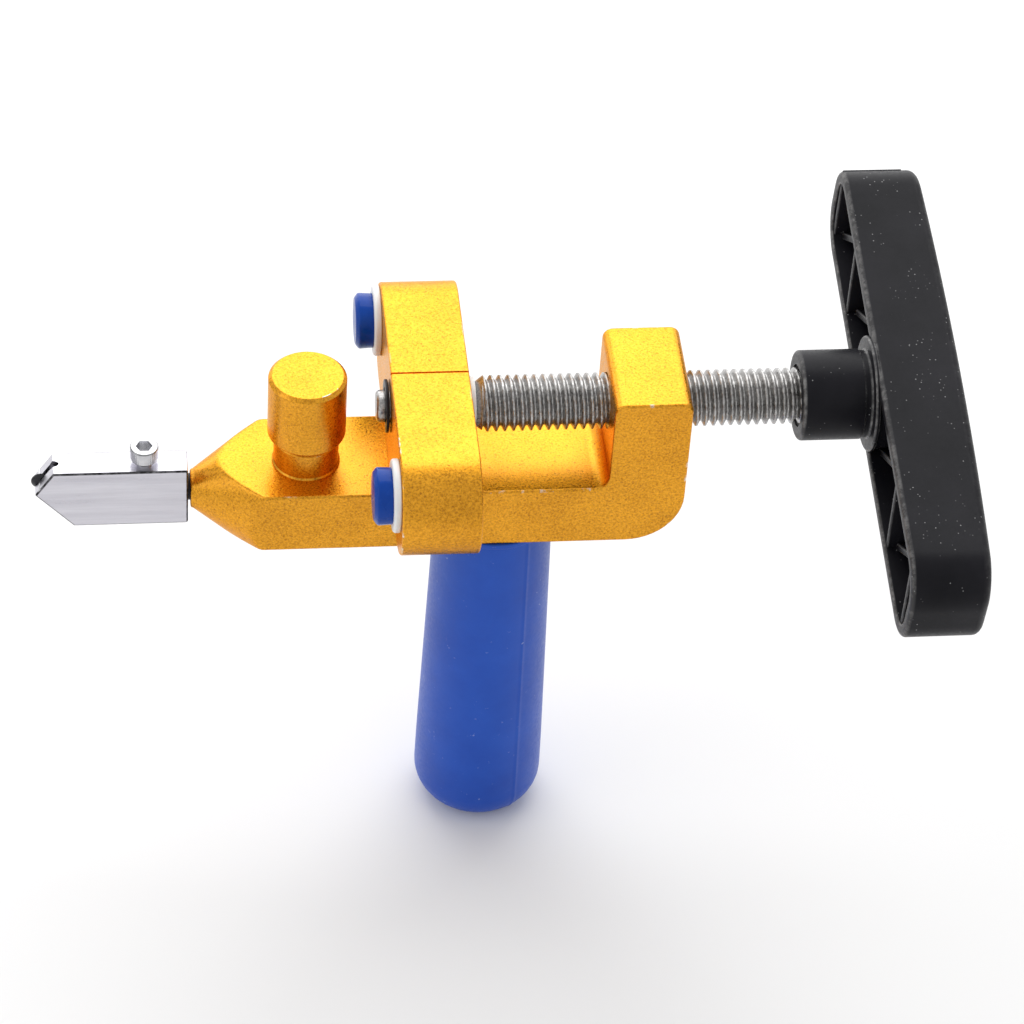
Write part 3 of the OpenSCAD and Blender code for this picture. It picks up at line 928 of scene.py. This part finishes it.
def tee_handle():
    back = tee.hi.x
    rim = back - TEE_D
    floor = back - TEE_FLOOR
    half_l, half_w = TEE_LEN / 2, TEE_W / 2
    ways = ((-1, -1), (1, -1), (1, 1), (-1, 1))
    corners = [(TEE_SHIFT + a * half_l, b * half_w, TEE_CORNER) for a, b in ways]
    run = profile([
        (half_w - BACK_SLIVER, back, 0), (half_w / 2, back, 0), (0, back, BACK_ROUND), (0, rim, LIP_ROUND),
        (TEE_WALL, rim, 0.5 * MM), (TEE_WALL, floor, 0.8 * MM), (half_w - FLOOR_SLIVER, floor, 0),
    ], 6)
    run = [(inset, s, w * tee_edge_wear_and_highlight(inset, s - rim)) for inset, s, w in run]
    bm = bmesh.new()
    slab(bm, inset_outline(corners, 12, TEE_GRID), run, tee_place)

    hub_x, boss_x, boss_back = tee.lo.x, rim - BOSS_FRONT, rim + BOSS_LIP
    bore, lip_r, lip_x = 5.72 * MM, 6.3 * MM, hub_x + 0.7 * MM
    neck, fine, soft = HUB_R - 0.3 * MM, 0.1 * MM, 0.5 * MM
    hub = profile([
        (bore, boss_x, 0), (bore, lip_x, fine), (lip_r, lip_x, 0.2 * MM), (lip_r, hub_x, 0.15 * MM),
        (HUB_R, hub_x, 0.8 * MM), (HUB_R, boss_x - 1.6 * MM, fine), (neck, boss_x - 1.4 * MM, fine),
        (neck, boss_x, soft), (BOSS_R, boss_x, soft), (BOSS_R, boss_back, 0.3 * MM),
        (BOSS_CORE_R, boss_back, fine), (BOSS_CORE_R, floor + MM, 0),
    ], 5)
    turned(bm, hub, along_x(0, SCREW_Z), 128)

    reach = half_w - TEE_WALL + RIB_INTO_WALL
    for way in (-1, 1):
        for i, (a, b) in enumerate(zip(RIB_TURNS, RIB_TURNS[1:])):
            sign = 1 if i % 2 == 0 else -1
            rib(bm, Vector((way * a, way * sign * reach)), Vector((way * b, -way * sign * reach)),
                rim + RIB_RECESS[(i + 1) % 2], floor)
    new_piece("tee_shell", bm, "screw", BLACK, ["tee_handle"])


def rib(bm, start, end, front, floor):
    """One rib of the handle's pocket from wall to wall, its front edge rounded."""
    along = (end - start).normalized()
    across = Vector((-along.y, along.x)) * RIB_T / 2
    loops, edge_values = [], []
    run = profile([(0, floor + MM, 0), (0, front, RIB_ROUND), (RIB_T / 2 - 0.05 * MM, front, 0)], 4)
    for inset, s, w in run:
        share = 1 - inset / (RIB_T / 2)
        loops.append([tee_place(p.x, p.y, s) for p in (
            start - across * share, end - across * share, end + across * share, start + across * share)])
        edge_values.append(w * 0.5)
    loft(bm, loops, edge_values)


# ---------------------------------------------------------------- grip

def grip_body():
    """A tapered turned body with a collar at the top and two raised mould seams."""
    top, low = grip.hi.z, grip.lo.z
    top_r, low_r, end_r = 12 * MM, grip.size.x / 2, 7.5 * MM
    collar, collar_h = 0.4 * MM, 1.2 * MM
    seam_w, seam_h = 0.35 * MM, 0.14 * MM
    seams = (math.radians(-59), math.radians(121))
    run = profile([
        (CORE_R, top, 0), (top_r + collar, top, 0.3 * MM), (top_r + collar, top - collar_h, 0.25 * MM),
        (top_r, top - collar_h, 0.2 * MM), (low_r - 0.2 * MM, low + 2.2 * end_r, 30 * MM),
        (low_r, low, end_r), (CORE_R, low, 0),
    ], 10)
    angles = []
    for seam in seams:
        angles += [seam + k * seam_w / 2 / top_r for k in (-4, -2, -1, 0, 1, 2, 4)]
        angles += [seam + math.radians(d) for d in range(5, 178, 3)]
    bm = bmesh.new()
    loops = []
    for radius, z, _ in run:
        ring = []
        for a in angles:
            off = min(abs(math.remainder(a - seam, TAU)) for seam in seams) * top_r
            r = radius + (seam_h * math.exp(-(off / seam_w) ** 2) if radius > top_r * 0.9 else 0)
            ring.append(Vector((grip.mid.x + r * math.cos(a), r * math.sin(a), z)))
        loops.append(ring)
    loft(bm, loops, [w for _, _, w in run])
    new_piece("grip_body", bm, "frame", GRIP_BLUE, ["grip"], 30)


# ---------------------------------------------------------------- the CAD nodes that still show

def finish_cad_nodes():
    looks = {
        # head_stem is given black steel as painted shade: dark in place of the shadow in the narrow gap
        # between the cutter head and the nose.
        "head_stem": BLACK_STEEL, "post_stud": STEEL, "grip_stud": STEEL,
        "pad_screw_near": STEEL, "pad_screw_far": STEEL, "grip_insert": BRASS,
    }
    for node, material in looks.items():
        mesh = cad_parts[node].data
        mesh.materials.clear()
        mesh.materials.append(material)


# ---------------------------------------------------------------- stage, light and camera

LIT_POINT = (0.03, 0, 0)
FLOOR_HALF = 4
CAMERA_AT = (-0.05936, -0.61509, 0.56578)
CAMERA_RIGHT = (0.99401723, -0.09619351, 0.05173539)
CAMERA_UP = (0.02843423, 0.68523676, 0.72776512)
LENS = 146.7
SENSOR = 36


def stage():
    lo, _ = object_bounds()
    bm = bmesh.new()
    bmesh.ops.create_grid(bm, x_segments=8, y_segments=8, size=FLOOR_HALF)
    mesh = bpy.data.meshes.new("floor")
    bm.to_mesh(mesh)
    bm.free()
    floor = bpy.data.objects.new("floor", mesh)
    floor.location.z = lo.z
    bpy.context.scene.collection.objects.link(floor)
    s = Shader("floor_white", Base_Color=(0.86, 0.86, 0.86, 1), Roughness=0.9, Specular_IOR_Level=0.1)
    mesh.materials.append(s.material)
    floor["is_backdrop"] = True


def area_light(name, place, size, watts):
    """A white rectangular light that faces the middle of the tool."""
    data = bpy.data.lights.new(name, "AREA")
    data.shape = "RECTANGLE"
    data.size, data.size_y = size
    data.energy = watts
    light = bpy.data.objects.new(name, data)
    light.location = place
    light.rotation_euler = (Vector(LIT_POINT) - Vector(place)).to_track_quat("-Z", "Y").to_euler()
    bpy.context.scene.collection.objects.link(light)


def lights():
    world = bpy.data.worlds.new("studio")
    bpy.context.scene.world = world
    world.use_nodes = True
    background = world.node_tree.nodes["Background"]
    background.inputs["Color"].default_value = (1, 1, 1, 1)
    background.inputs["Strength"].default_value = 0.74
    area_light("key_above", (0.10, 0.55, 0.75), (1.2, 0.8), 6.3)
    area_light("glow_behind", (0, 1.2, 0.32), (2.4, 0.7), 8)
    area_light("fill_left", (-0.9, -0.3, 0.5), (0.6, 0.6), 1)


def camera():
    right, up = Vector(CAMERA_RIGHT), Vector(CAMERA_UP)
    data = bpy.data.cameras.new("camera")
    data.sensor_width = SENSOR
    data.lens = LENS
    cam = bpy.data.objects.new("camera", data)
    turn = Matrix((right, up, right.cross(up))).transposed()
    cam.matrix_world = Matrix.Translation(CAMERA_AT) @ turn.to_4x4()
    bpy.context.scene.collection.objects.link(cam)
    bpy.context.scene.camera = cam


bar_body()
cutter_head()
cutting_wheel()
axle_pin()
clamp_screw()
breaking_post()
crossbar()
pads()
lead_screw()
retaining_clip()
thrust_washer()
tee_handle()
grip_body()
finish_cad_nodes()
stage()
lights()
camera()
bpy.context.scene.view_settings.view_transform = "Standard"
